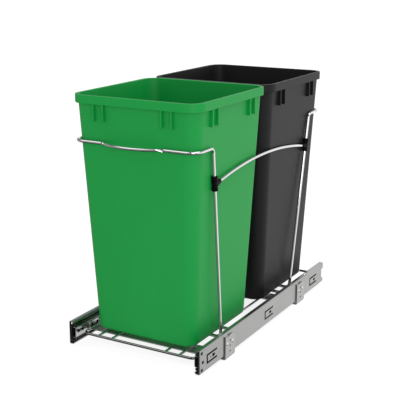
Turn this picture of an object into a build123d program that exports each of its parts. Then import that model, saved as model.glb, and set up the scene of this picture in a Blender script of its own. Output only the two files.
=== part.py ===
from build123d import *
import os
from math import atan, cos, sin, sqrt

# Pull-out frame for two waste bins, made to stand on the floor of a kitchen cabinet.
# X runs across the cabinet, -Y is the way the frame pulls out, and +Z is up.
# The origin is under the middle of the object, on the surface that its feet stand on.
# A station is a distance back from the front end of the drawer slides.

os.makedirs("parts", exist_ok=True)

# ------------------------------------------------------------ driving dimensions, in mm

# drawer slides
slide_length = 559.0
slide_height = 45.0
slide_depth = 12.7
slide_span = 283.0  # over the outer faces of the pair
slide_sheet = 1.2
outer_flange_depth = 10.4
outer_corner = 1.8  # where the outer member's web meets its flanges
lip_straight = 0.3  # of a ball track's lip, past its bend
member_clearance = 0.7  # between the lips of the middle member and the inner member
inner_bend = 2.0
travel_loss = 9.0  # slide length less its travel
middle_setback = 2.0
inner_setback = 3.0
middle_rear_gap = 12.0
inner_rear_gap = 11.0

# balls and the cages that hold them
outer_ball_diameter = 4.76
inner_ball_diameter = 3.97
ball_clearance = 0.15
balls_per_row = 4
cage_sheet = 0.9
cage_clearance = 0.35
cage_rim = 0.9
cage_bend = 1.2
cage_margin = 16.0
ball_inset = 12.0

# front guide of the intermediate member
guide_length = 10.0
guide_clearance = 0.3
guide_arm_reach = 5.2

# punched features of the outer member's web
web_hole_diameter = 4.5
web_hole_station = 7.0
web_hole_edge = 6.6
web_middle_hole_station = 11.0
web_middle_hole_height = 20.3
tongue_length = 36.0
tongue_height = 17.2
tongue_slot = 2.3
tongue_corner = 2.5
tongue_bottom = 12.0
tongue_hole_station = 24.5
tongue_hole_length = 7.2
tongue_pilot_station = 12.7  # only in the front tongue
front_tongue = 25.5
middle_tongue = 260.5
rear_tongue_from_end = 75.0
ear_start_from_end = 99.0
ear_slope = 14.0
ear_rise = 6.0
ear_cut_length = 17.0
ear_cut_drop = 7.5
ear_round = 3.0
stop_notch_depth = 9.2
stop_tab_bottom = 9.5
stop_tab_height = 21.5
stop_tab_reach = 7.5

# brackets and their rivets
bracket_width = 37.0
bracket_sheet = 2.5
bracket_bend = 3.0
bracket_foot_gap = 5.0
bracket_foot_reach = 32.0
bracket_front_drop = 7.0  # drops are from the slide's top
bracket_dip_drop = 10.4
bracket_crown_drop = 7.4
bracket_rear_drop = 11.5
bracket_dip = 9.0
bracket_crown = 22.0
bracket_rear_chamfer = 3.0
bracket_front_station = 91.0
bracket_rear_from_end = 147.0
bracket_side_hole_diameter = 4.0
bracket_side_hole_pitch = 10.4
bracket_side_hole_station = 17.5
bracket_side_hole_height = 16.1
foot_hole_diameter = 5.5
foot_hole_from_tip = 8.0
foot_corner = 5.0
rivet_diameter = 4.0
rivet_head_diameter = 7.0
rivet_head_height = 1.6
rivet_pitch = 20.0
rivet_middle = 16.0  # of a pair, from its bracket's front
rivet_rise = 0.5  # rises are from the slide's middle
head_dome = 0.85  # rounded share of a fastener head's height
fastener_clearance = 0.1

# straps and frame screws
strap_width = 35.0
strap_sheet = 2.0
strap_bend = 3.5
strap_drop = 8.0  # of the straps' underside from the slides' middle
strap_tab_height = 15.5
strap_slot_station = 6.0
strap_slot_length = 5.8
strap_slot_width = 3.5
strap_hole_station = 23.0
inner_hole_rise = 0.8
inner_hole_stations = (11.7, 24.0)
inner_pilot_station = 39.4
pilot_diameter = 2.3
strap_front_station = 46.0
strap_rear_from_end = 204.0
screw_rise = 2.5
screw_in_strap = 30.0
screw_diameter = 4.0
screw_head_diameter = 8.0
screw_head_height = 2.4
screw_length = 6.0

# base wires
base_wire = 5.0
base_corner = 8.0
base_front_station = 18.0
base_rear_from_end = 9.0
base_slide_gap = 11.9
long_wire_places = (58.5, 88.3)

# hoops, side arc wires and clips
hoop_wire = 6.0
hoop_height = 366.0
hoop_slide_gap = 5.8
hoop_side_clearance = 0.3
hoop_end_clearance = 0.4
hoop_bend = 10.0
hoop_rail_corner = 20.0
front_foot_from_bin = 27.5
front_leg_top_from_bin = 71.5
rear_foot_from_bin = 6.9
rear_leg_top_from_bin = 70.9
front_cross_from_bin = 14.0
rear_cross_from_bin = 29.1
cross_wire_overhang = 2.6
bow_half_width = 67.0
bow_depth = 18.0
bow_kink = 12.0
arc_rise = 19.3
clip_drop = 65.5  # below the hoops' rails
clip_length = 34.0
clip_diameter = 12.0
clip_stub_length = 16.0
clip_stub_diameter = 10.6
clip_stub_taper = 4.0
clip_edge = 1.0
clip_clearance = 0.1
clip_flat = 4.2  # from the wires' middle to the side next to the bin
arc_end_gap = 5.0

# bins
bin_side_clearance = 9.5  # of the rims, in from the slides' outer faces
bin_length = 270.6
bin_height = 446.1
bin_wall = 2.2
bin_overhang = 5.0
bin_rim_height = 15.0
bin_taper = 21.0
bin_top_corner = 25.0
bin_bottom_corner = 23.0
bin_floor_bend = 6.0
bin_rim_edge = 1.0
bin_gap = 1.0
bin_seat_gap = 0.3
bin_front_station = 9.2
gusset_height = 34.0
gusset_sheet = 3.0
gusset_inset = 0.8  # from the rim's edge
gusset_places = (60.0, 80.0)

# ------------------------------------------------------------ places worked out from them

hoop_radius = hoop_wire / 2
base_radius = base_wire / 2
slide_face = slide_span / 2  # outer face of the right slide
carriage_face = slide_face - slide_depth  # face of the right inner member

foot_hole_x = slide_face + bracket_sheet - bracket_foot_reach + foot_hole_from_tip
slide_bottom = bracket_sheet + bracket_foot_gap
slide_mid = slide_bottom + slide_height / 2
strap_bottom = slide_mid - strap_drop
base_z = strap_bottom + strap_sheet + base_radius
cross_z = base_z + base_radius + hoop_radius
bin_bottom = cross_z + hoop_radius + bin_seat_gap
rim_top = bin_bottom + bin_height
rail_z = cross_z + hoop_height

bin_width = 2 * (slide_face - bin_side_clearance)
body_half_width = bin_width / 2 - bin_overhang
body_half_length = bin_length / 2 - bin_overhang
draft = bin_taper / bin_height
rail_draft = draft * (rim_top - rail_z)

rail_x = body_half_width - rail_draft + hoop_side_clearance + hoop_radius
rail_from_bin = body_half_length - rail_draft + hoop_end_clearance + hoop_radius
front_rail_station = bin_front_station + bin_length / 2 - rail_from_bin
front_reach = bow_depth + hoop_radius - front_rail_station
slide_front = -(slide_length - front_reach) / 2

green_bin_y = slide_front + bin_front_station + bin_length / 2
black_bin_y = green_bin_y + bin_length + bin_gap


def along(station):
    """Y of a station on the slides."""
    return slide_front + station


def slide_section(station):
    """Plane across the right slide: X in from its outer face, Y up from its middle."""
    return Plane(origin=(slide_face, along(station), slide_mid), x_dir=(-1, 0, 0), z_dir=(0, 1, 0))


def side_plane(x):
    """Upright plane along the slides: X is the station, Y the height above their underside."""
    return Plane(origin=(x, slide_front, slide_bottom), x_dir=(0, 1, 0), z_dir=(1, 0, 0))


def left_of(right):
    """Mirror image of a right-hand piece."""
    with BuildPart() as left:
        mirror(right.part, about=Plane.YZ)
    return left


def save(piece, name):
    """Label a finished piece and write its file."""
    piece.part.label = name
    export_step(piece.part, f"parts/{name}.step")


# ------------------------------------------------------------ ball tracks
# Depths are measured in from the slide's outer face and heights from its middle.

outer_ball_radius = outer_ball_diameter / 2
inner_ball_radius = inner_ball_diameter / 2
outer_lip_bend = outer_ball_radius + ball_clearance + slide_sheet
middle_bend = inner_ball_radius + ball_clearance + slide_sheet

outer_lip_turn = outer_lip_bend + lip_straight
middle_lip_turn = middle_bend + lip_straight

outer_half = slide_height / 2
outer_ball_height = outer_half - slide_sheet - ball_clearance - outer_ball_radius
outer_ball_depth = outer_flange_depth - outer_lip_bend
middle_half = outer_ball_height - outer_ball_radius - ball_clearance
middle_web = slide_sheet + 2 * cage_clearance + cage_sheet
middle_lip = slide_depth - slide_sheet - member_clearance
inner_ball_height = middle_half - slide_sheet - ball_clearance - inner_ball_radius
inner_ball_depth = (middle_web + middle_lip) / 2
inner_half = inner_ball_height - inner_ball_radius - ball_clearance
inner_tip = middle_web + slide_sheet + 2 * cage_clearance + cage_sheet

middle_length = slide_length - middle_setback - middle_rear_gap
inner_length = slide_length - inner_setback - inner_rear_gap
travel = slide_length - travel_loss
cage_station = travel / 4 + cage_margin
cage_length = middle_setback + middle_length - travel / 2 - 2 * cage_margin
ball_pitch = (cage_length - 2 * ball_inset) / (balls_per_row - 1)
ball_stations = [cage_station + ball_inset + row * ball_pitch for row in range(balls_per_row)]


# ------------------------------------------------------------ outer slide members

tongue_stations = (front_tongue, middle_tongue, slide_length - rear_tongue_from_end)
bracket_stations = (bracket_front_station, slide_length - bracket_rear_from_end)
rivet_offsets = (rivet_middle - rivet_pitch / 2, rivet_middle + rivet_pitch / 2)
rivet_height = slide_height / 2 + rivet_rise
rivet_places = [
    (station + offset_y, rivet_height) for station in bracket_stations for offset_y in rivet_offsets
]
ear_station = slide_length - ear_start_from_end
web_flat_top = slide_height - outer_corner
ear_bottom = web_flat_top - outer_corner
ear_top = slide_height + ear_rise
notch_station = slide_length - stop_notch_depth

with BuildPart() as slide_outer_right:
    with BuildSketch(slide_section(0)):
        with BuildLine():
            FilletPolyline(
                (outer_flange_depth, outer_half - outer_lip_turn),
                (outer_flange_depth, outer_half),
                (0, outer_half),
                (0, -outer_half),
                (outer_flange_depth, -outer_half),
                (outer_flange_depth, -outer_half + outer_lip_turn),
                radius=(outer_lip_bend, outer_corner, outer_corner, outer_lip_bend),
            )
            offset(amount=slide_sheet, side=Side.LEFT)
        make_face()
    extrude(amount=slide_length)
    # the top flange stops short of the rear end, where the web stands up as a flat ear
    with BuildSketch(side_plane(slide_face)):
        with BuildLine():
            Polyline(
                (ear_station, web_flat_top),
                (ear_station, ear_top),
                (slide_length, ear_top),
                (slide_length, web_flat_top),
                close=True,
            )
        make_face()
    extrude(amount=-slide_depth, mode=Mode.SUBTRACT)
    with BuildSketch(side_plane(slide_face)):
        with BuildLine():
            ear_outline = FilletPolyline(
                (ear_station, ear_bottom),
                (ear_station, slide_height),
                (ear_station + ear_slope, ear_top),
                (slide_length - ear_cut_length, ear_top),
                (slide_length, ear_top - ear_cut_drop),
                (slide_length, ear_bottom),
                radius=ear_round,
            )
            Line(ear_outline @ 1, ear_outline @ 0)
        make_face()
    extrude(amount=-slide_sheet)
    # mounting holes at the front end, tongues along the web and the holes in them
    with BuildSketch(side_plane(slide_face)):
        with Locations(
            (web_hole_station, slide_height - web_hole_edge),
            (web_middle_hole_station, web_middle_hole_height),
            (web_hole_station, web_hole_edge),
        ):
            Circle(web_hole_diameter / 2)
        with Locations((front_tongue + tongue_pilot_station, tongue_bottom + tongue_height / 2)):
            Circle(pilot_diameter / 2)
        with Locations(*rivet_places):
            Circle(rivet_diameter / 2 + fastener_clearance)
        for station in tongue_stations:
            with Locations((station + tongue_hole_station, tongue_bottom + tongue_height / 2)):
                SlotOverall(tongue_hole_length, web_hole_diameter)
            with BuildLine():
                FilletPolyline(
                    (station + tongue_length, tongue_bottom + tongue_slot / 2),
                    (station + tongue_slot / 2, tongue_bottom + tongue_slot / 2),
                    (station + tongue_slot / 2, tongue_bottom + tongue_height - tongue_slot / 2),
                    (station + tongue_length, tongue_bottom + tongue_height - tongue_slot / 2),
                    radius=tongue_corner,
                )
            trace(line_width=tongue_slot)
    extrude(amount=-slide_sheet, mode=Mode.SUBTRACT)
    # notch in the web's rear end, its metal bent in as the stop for the moving members
    with BuildSketch(side_plane(slide_face)):
        with Locations((notch_station, stop_tab_bottom)):
            Rectangle(stop_notch_depth, stop_tab_height, align=Align.MIN)
    extrude(amount=-slide_sheet, mode=Mode.SUBTRACT)
    with BuildSketch(side_plane(slide_face)):
        with Locations((notch_station, stop_tab_bottom)):
            Rectangle(slide_sheet, stop_tab_height, align=Align.MIN)
    extrude(amount=-stop_tab_reach)
save(slide_outer_right, "slide_outer_right")

slide_outer_left = left_of(slide_outer_right)
save(slide_outer_left, "slide_outer_left")

# ------------------------------------------------------------ intermediate slide members

with BuildPart() as slide_middle_right:
    with BuildSketch(slide_section(middle_setback)):
        with BuildLine():
            FilletPolyline(
                (middle_lip, middle_half - middle_lip_turn),
                (middle_lip, middle_half),
                (middle_web, middle_half),
                (middle_web, -middle_half),
                (middle_lip, -middle_half),
                (middle_lip, -middle_half + middle_lip_turn),
                radius=middle_bend,
            )
            offset(amount=slide_sheet, side=Side.LEFT)
        make_face()
    extrude(amount=middle_length)
save(slide_middle_right, "slide_middle_right")

slide_middle_left = left_of(slide_middle_right)
save(slide_middle_left, "slide_middle_left")

guide_web = middle_web + slide_sheet
guide_half = middle_half - slide_sheet
guide_inside = inner_half + guide_clearance
guide_face = inner_tip - guide_clearance
guide_bend = middle_bend - slide_sheet

with BuildPart() as front_guide_right:
    with BuildSketch(slide_section(middle_setback)) as guide_outline:
        with BuildLine():
            Polyline(
                (guide_web + guide_arm_reach, guide_inside),
                (guide_web + guide_arm_reach, guide_half),
                (guide_web, guide_half),
                (guide_web, -guide_half),
                (guide_web + guide_arm_reach, -guide_half),
                (guide_web + guide_arm_reach, -guide_inside),
                (guide_face, -guide_inside),
                (guide_face, guide_inside),
                close=True,
            )
        make_face()
        guide_rows = guide_outline.vertices().group_by(Axis.Y)
        fillet(guide_rows[0] + guide_rows[-1], radius=guide_bend)
    extrude(amount=guide_length)
save(front_guide_right, "front_guide_right")

front_guide_left = left_of(front_guide_right)
save(front_guide_left, "front_guide_left")

# ------------------------------------------------------------ ball cages and balls

outer_cage_half = middle_half + cage_clearance + cage_sheet
outer_pocket_drop = outer_ball_height - outer_cage_half
outer_pocket = sqrt(outer_ball_radius**2 - outer_pocket_drop**2) + ball_clearance
outer_cage_web = slide_sheet + cage_clearance
outer_cage_tip = outer_ball_depth + outer_pocket + cage_rim

with BuildPart() as outer_ball_cage_right:
    with BuildSketch(slide_section(cage_station)):
        with BuildLine():
            FilletPolyline(
                (outer_cage_tip, outer_cage_half),
                (outer_cage_web, outer_cage_half),
                (outer_cage_web, -outer_cage_half),
                (outer_cage_tip, -outer_cage_half),
                radius=cage_bend,
            )
            offset(amount=cage_sheet, side=Side.LEFT)
        make_face()
    extrude(amount=cage_length)
    for flange in (1, -1):
        with BuildSketch(Plane.XY.offset(slide_mid + flange * outer_cage_half)):
            with Locations(*[(slide_face - outer_ball_depth, along(row)) for row in ball_stations]):
                Circle(outer_pocket)
        extrude(amount=-flange * cage_sheet, mode=Mode.SUBTRACT)
save(outer_ball_cage_right, "outer_ball_cage_right")

outer_ball_cage_left = left_of(outer_ball_cage_right)
save(outer_ball_cage_left, "outer_ball_cage_left")

inner_cage_half = inner_half + cage_clearance + cage_sheet
inner_pocket_drop = inner_ball_height - inner_cage_half
inner_pocket = sqrt(inner_ball_radius**2 - inner_pocket_drop**2) + ball_clearance
inner_cage_web = middle_web + slide_sheet + cage_clearance
inner_cage_tip = inner_ball_depth + inner_pocket + cage_rim

with BuildPart() as inner_ball_cage_right:
    with BuildSketch(slide_section(cage_station)):
        with BuildLine():
            FilletPolyline(
                (inner_cage_tip, inner_cage_half),
                (inner_cage_web, inner_cage_half),
                (inner_cage_web, -inner_cage_half),
                (inner_cage_tip, -inner_cage_half),
                radius=cage_bend,
            )
            offset(amount=cage_sheet, side=Side.LEFT)
        make_face()
    extrude(amount=cage_length)
    for flange in (1, -1):
        with BuildSketch(Plane.XY.offset(slide_mid + flange * inner_cage_half)):
            with Locations(*[(slide_face - inner_ball_depth, along(row)) for row in ball_stations]):
                Circle(inner_pocket)
        extrude(amount=-flange * cage_sheet, mode=Mode.SUBTRACT)
save(inner_ball_cage_right, "inner_ball_cage_right")

inner_ball_cage_left = left_of(inner_ball_cage_right)
save(inner_ball_cage_left, "inner_ball_cage_left")


def ball_rows(depth, height, radius):
    """The upper and lower row of balls in one cage of the right slide."""
    with BuildPart() as balls:
        for row in (slide_mid + height, slide_mid - height):
            with Locations(*[(slide_face - depth, along(station), row) for station in ball_stations]):
                Sphere(radius)
    return balls


outer_balls_right = ball_rows(outer_ball_depth, outer_ball_height, outer_ball_radius)
save(outer_balls_right, "outer_balls_right")

outer_balls_left = left_of(outer_balls_right)
save(outer_balls_left, "outer_balls_left")

inner_balls_right = ball_rows(inner_ball_depth, inner_ball_height, inner_ball_radius)
save(inner_balls_right, "inner_balls_right")

inner_balls_left = left_of(inner_balls_right)
save(inner_balls_left, "inner_balls_left")

# ------------------------------------------------------------ brackets and rivets


def make_bracket(station):
    """Angle bracket on the right slide's outer face, with its foot turned in underneath."""
    rear = station + bracket_width
    front_top = slide_height - bracket_front_drop
    dip = (station + bracket_dip, slide_height - bracket_dip_drop)
    crown = (station + bracket_crown, slide_height - bracket_crown_drop)
    rear_top = slide_height - bracket_rear_drop
    with BuildPart() as bracket:
        # bent sheet, seen from the front
        with BuildSketch(Plane.XZ.offset(-along(station))):
            with BuildLine():
                FilletPolyline(
                    (slide_face + bracket_sheet, slide_bottom + front_top),
                    (slide_face + bracket_sheet, 0),
                    (slide_face + bracket_sheet - bracket_foot_reach, 0),
                    radius=bracket_bend,
                )
                offset(amount=bracket_sheet, side=Side.RIGHT)
            make_face()
        extrude(amount=-bracket_width)
        # outline of the side plate: a front corner, a dip and a domed crown
        with BuildSketch(side_plane(slide_face + bracket_sheet)):
            with BuildLine():
                Line((station, front_top), dip)
                ThreePointArc(dip, crown, (rear, rear_top))
                Polyline(
                    (rear, rear_top),
                    (rear, slide_height),
                    (station, slide_height),
                    (station, front_top),
                )
            make_face()
            with BuildLine():
                Polyline(
                    (rear, -slide_bottom),
                    (rear, -slide_bottom + bracket_rear_chamfer),
                    (rear - 2 * bracket_rear_chamfer, -slide_bottom),
                    close=True,
                )
            make_face()
            with Locations(*[(station + y, rivet_height) for y in rivet_offsets]):
                Circle(rivet_diameter / 2 + fastener_clearance)
            with Locations((station + bracket_side_hole_station, bracket_side_hole_height)):
                with GridLocations(0, bracket_side_hole_pitch, 1, 3):
                    Circle(bracket_side_hole_diameter / 2)
        extrude(amount=-bracket_sheet, mode=Mode.SUBTRACT)
        # screw hole in the foot, and its rounded corners
        with BuildSketch(Plane.XY):
            with Locations((foot_hole_x, along(station + bracket_width / 2))):
                Circle(foot_hole_diameter / 2)
        extrude(amount=bracket_sheet, mode=Mode.SUBTRACT)
        foot_corners = bracket.edges().filter_by(Axis.Z).group_by(Axis.X)[0]
        fillet(foot_corners, radius=foot_corner)
    return bracket


bracket_front_right = make_bracket(bracket_stations[0])
save(bracket_front_right, "bracket_front_right")

bracket_front_left = left_of(bracket_front_right)
save(bracket_front_left, "bracket_front_left")

bracket_rear_right = make_bracket(bracket_stations[1])
save(bracket_rear_right, "bracket_rear_right")

bracket_rear_left = left_of(bracket_rear_right)
save(bracket_rear_left, "bracket_rear_left")

with BuildPart() as bracket_rivets:
    with BuildSketch(side_plane(slide_face + bracket_sheet)):
        with Locations(*rivet_places):
            Circle(rivet_head_diameter / 2)
    extrude(amount=rivet_head_height)
    head_rims = bracket_rivets.faces().group_by(Axis.X)[-1].edges()
    fillet(head_rims, radius=head_dome * rivet_head_height)
    with BuildSketch(side_plane(slide_face + bracket_sheet)):
        with Locations(*rivet_places):
            Circle(rivet_diameter / 2)
    extrude(amount=-(bracket_sheet + slide_sheet))
    mirror(about=Plane.YZ)
save(bracket_rivets, "bracket_rivets")

# ------------------------------------------------------------ inner slide members

strap_stations = (strap_front_station, slide_length - strap_rear_from_end)
screw_height = slide_height / 2 + screw_rise
inner_hole_height = slide_height / 2 + inner_hole_rise
screw_places = [(station + screw_in_strap, screw_height) for station in strap_stations]

with BuildPart() as slide_inner_right:
    with BuildSketch(slide_section(inner_setback)):
        with BuildLine():
            FilletPolyline(
                (inner_tip, inner_half),
                (slide_depth, inner_half),
                (slide_depth, -inner_half),
                (inner_tip, -inner_half),
                radius=inner_bend,
            )
            offset(amount=slide_sheet, side=Side.RIGHT)
        make_face()
    extrude(amount=inner_length)
    with BuildSketch(side_plane(carriage_face)):
        with Locations(*[(station, inner_hole_height) for station in inner_hole_stations]):
            Circle(web_hole_diameter / 2)
        with Locations((inner_pilot_station, inner_hole_height)):
            Circle(pilot_diameter / 2)
        with Locations(*screw_places):
            Circle(screw_diameter / 2 + fastener_clearance)
    extrude(amount=slide_sheet, mode=Mode.SUBTRACT)
save(slide_inner_right, "slide_inner_right")

slide_inner_left = left_of(slide_inner_right)
save(slide_inner_left, "slide_inner_left")

# ------------------------------------------------------------ cross straps and frame screws


def make_strap(station):
    """Flat strap under the wire base, with its ends bent up against the inner members."""
    with BuildPart() as strap:
        with BuildSketch(Plane.XZ.offset(-along(station))):
            with BuildLine():
                FilletPolyline(
                    (-carriage_face, strap_bottom + strap_tab_height),
                    (-carriage_face, strap_bottom),
                    (carriage_face, strap_bottom),
                    (carriage_face, strap_bottom + strap_tab_height),
                    radius=strap_bend,
                )
                offset(amount=strap_sheet, side=Side.LEFT)
            make_face()
        extrude(amount=-strap_width)
        # slot, spare hole and screw hole through both tabs
        with BuildSketch(side_plane(0)):
            with Locations((station + strap_slot_station, inner_hole_height)):
                SlotOverall(strap_slot_length, strap_slot_width, rotation=90)
            with Locations((station + strap_hole_station, inner_hole_height)):
                Circle(web_hole_diameter / 2)
            with Locations((station + screw_in_strap, screw_height)):
                Circle(screw_diameter / 2 + fastener_clearance)
        extrude(amount=carriage_face, both=True, mode=Mode.SUBTRACT)
    return strap


cross_strap_front = make_strap(strap_stations[0])
save(cross_strap_front, "cross_strap_front")

cross_strap_rear = make_strap(strap_stations[1])
save(cross_strap_rear, "cross_strap_rear")

with BuildPart() as frame_screws:
    with BuildSketch(side_plane(carriage_face - strap_sheet)):
        with Locations(*screw_places):
            Circle(screw_head_diameter / 2)
    extrude(amount=-screw_head_height)
    fillet(frame_screws.faces().group_by(Axis.X)[0].edges(), radius=head_dome * screw_head_height)
    with BuildSketch(side_plane(carriage_face - strap_sheet)):
        with Locations(*screw_places):
            Circle(screw_diameter / 2)
    extrude(amount=screw_length)
    mirror(about=Plane.YZ)
save(frame_screws, "frame_screws")

# ------------------------------------------------------------ wire base

base_x = carriage_face - base_slide_gap - base_radius
base_front = along(base_front_station)
base_rear = along(slide_length - base_rear_from_end)

with BuildPart() as base_perimeter_wire:
    with BuildLine() as base_path:
        FilletPolyline(
            (0, base_front, base_z),
            (base_x, base_front, base_z),
            (base_x, base_rear, base_z),
            (0, base_rear, base_z),
            radius=base_corner,
        )
    with BuildSketch(Plane(origin=base_path.wire() @ 0, z_dir=base_path.wire() % 0)):
        Circle(base_radius)
    sweep()
    mirror(about=Plane.YZ)
save(base_perimeter_wire, "base_perimeter_wire")

with BuildPart() as base_long_wires:
    with BuildSketch(Plane.XZ.offset(-base_front)):
        for place in long_wire_places:
            with Locations((place, base_z), (-place, base_z)):
                Circle(base_radius)
    extrude(amount=base_front - base_rear)
    add(base_perimeter_wire.part, mode=Mode.SUBTRACT)
save(base_long_wires, "base_long_wires")

cross_wire_half = base_x + cross_wire_overhang
green_cross_y = green_bin_y + front_cross_from_bin
black_cross_y = black_bin_y - rear_cross_from_bin

with BuildPart() as base_cross_wires:
    with BuildSketch(Plane.YZ.offset(-cross_wire_half)):
        with Locations((green_cross_y, cross_z), (black_cross_y, cross_z)):
            Circle(hoop_radius)
    extrude(amount=2 * cross_wire_half)
save(base_cross_wires, "base_cross_wires")

# ------------------------------------------------------------ hoops

foot_x = carriage_face - hoop_slide_gap - hoop_radius
front_foot_y = green_bin_y - front_foot_from_bin
front_top_y = green_bin_y - front_leg_top_from_bin
front_rail_y = green_bin_y - rail_from_bin
rear_foot_y = black_bin_y + rear_foot_from_bin
rear_top_y = black_bin_y + rear_leg_top_from_bin
rear_rail_y = black_bin_y + rail_from_bin

# the handle bows out of the front rail: a kink and one wide arc that meets it tangentially
bow_turn = 2 * atan(bow_depth / bow_half_width)
kink_end_x = bow_half_width - bow_kink * sin(bow_turn)
kink_end_y = front_rail_y - bow_kink * (1 - cos(bow_turn))

with BuildPart() as front_hoop_wire:
    with BuildLine() as front_hoop_path:
        FilletPolyline(
            (0, front_foot_y, cross_z),
            (foot_x, front_foot_y, cross_z),
            (rail_x, front_top_y, rail_z),
            (rail_x, front_rail_y, rail_z),
            (bow_half_width, front_rail_y, rail_z),
            radius=(hoop_bend, hoop_bend, hoop_rail_corner),
        )
        bow_start = TangentArc(
            (bow_half_width, front_rail_y, rail_z), (kink_end_x, kink_end_y, rail_z), tangent=(-1, 0, 0)
        )
        TangentArc(bow_start @ 1, (0, front_rail_y - bow_depth, rail_z), tangent=bow_start % 1)
    with BuildSketch(Plane(origin=front_hoop_path.wire() @ 0, z_dir=front_hoop_path.wire() % 0)):
        Circle(hoop_radius)
    sweep()
    mirror(about=Plane.YZ)
save(front_hoop_wire, "front_hoop_wire")

with BuildPart() as rear_hoop_wire:
    with BuildLine() as rear_hoop_path:
        FilletPolyline(
            (0, rear_foot_y, cross_z),
            (foot_x, rear_foot_y, cross_z),
            (rail_x, rear_top_y, rail_z),
            (rail_x, rear_rail_y, rail_z),
            (0, rear_rail_y, rail_z),
            radius=(hoop_bend, hoop_bend, hoop_rail_corner),
        )
    with BuildSketch(Plane(origin=rear_hoop_path.wire() @ 0, z_dir=rear_hoop_path.wire() % 0)):
        Circle(hoop_radius)
    sweep()
    mirror(about=Plane.YZ)
save(rear_hoop_wire, "rear_hoop_wire")

# ------------------------------------------------------------ side arc wires and their clips

clip_height = hoop_height - clip_drop  # above the cross wires
clip_share = clip_height / hoop_height
clip_x = foot_x + clip_share * (rail_x - foot_x)
front_clip = Vector(clip_x, front_foot_y + clip_share * (front_top_y - front_foot_y), cross_z + clip_height)
rear_clip = Vector(clip_x, rear_foot_y + clip_share * (rear_top_y - rear_foot_y), cross_z + clip_height)
front_leg = Vector(rail_x - foot_x, front_top_y - front_foot_y, hoop_height)
rear_leg = Vector(rail_x - foot_x, rear_top_y - rear_foot_y, hoop_height)

with BuildPart() as side_arc_wire_right:
    with BuildLine() as arc_path:
        ThreePointArc(
            front_clip + (0, arc_end_gap, 0),
            (front_clip + rear_clip) / 2 + (0, 0, arc_rise),
            rear_clip - (0, arc_end_gap, 0),
        )
    with BuildSketch(Plane(origin=arc_path.wire() @ 0, z_dir=arc_path.wire() % 0)):
        Circle(hoop_radius)
    sweep()
save(side_arc_wire_right, "side_arc_wire_right")

side_arc_wire_left = left_of(side_arc_wire_right)
save(side_arc_wire_left, "side_arc_wire_left")


def make_clip(place, leg, wire_end, wire_way):
    """Moulded clip: a sleeve round the hoop's leg and a tapered stub that takes the arc wire."""
    with BuildPart() as clip:
        with BuildSketch(Plane(origin=place, z_dir=leg)):
            Circle(clip_diameter / 2)
        extrude(amount=clip_length / 2, both=True)
        fillet(clip.edges(), radius=clip_edge)
        with BuildSketch(Plane(origin=wire_end - wire_way * arc_end_gap, z_dir=wire_way)):
            Circle(clip_stub_diameter / 2)
        extrude(amount=clip_stub_length, taper=clip_stub_taper)
        with BuildSketch(Plane(origin=place, z_dir=leg)):
            Circle(hoop_radius + clip_clearance)
        extrude(amount=clip_length, both=True, mode=Mode.SUBTRACT)
        with BuildSketch(Plane(origin=wire_end, z_dir=wire_way)):
            Circle(hoop_radius + clip_clearance)
        extrude(amount=clip_stub_length, mode=Mode.SUBTRACT)
        # the side next to the bin is flat
        with BuildSketch(Plane(origin=place, x_dir=Vector(0, 1, 0).cross(leg), z_dir=leg)):
            with Locations((-clip_flat, 0)):
                Rectangle(clip_diameter, 2 * clip_length, align=(Align.MAX, Align.CENTER))
        extrude(amount=clip_length, both=True, mode=Mode.SUBTRACT)
    return clip


wire_clip_front_right = make_clip(front_clip, front_leg, arc_path.wire() @ 0, arc_path.wire() % 0)
save(wire_clip_front_right, "wire_clip_front_right")

wire_clip_front_left = left_of(wire_clip_front_right)
save(wire_clip_front_left, "wire_clip_front_left")

wire_clip_rear_right = make_clip(rear_clip, rear_leg, arc_path.wire() @ 1, -(arc_path.wire() % 1))
save(wire_clip_rear_right, "wire_clip_rear_right")

wire_clip_rear_left = left_of(wire_clip_rear_right)
save(wire_clip_rear_left, "wire_clip_rear_left")

# ------------------------------------------------------------ bins


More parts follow.
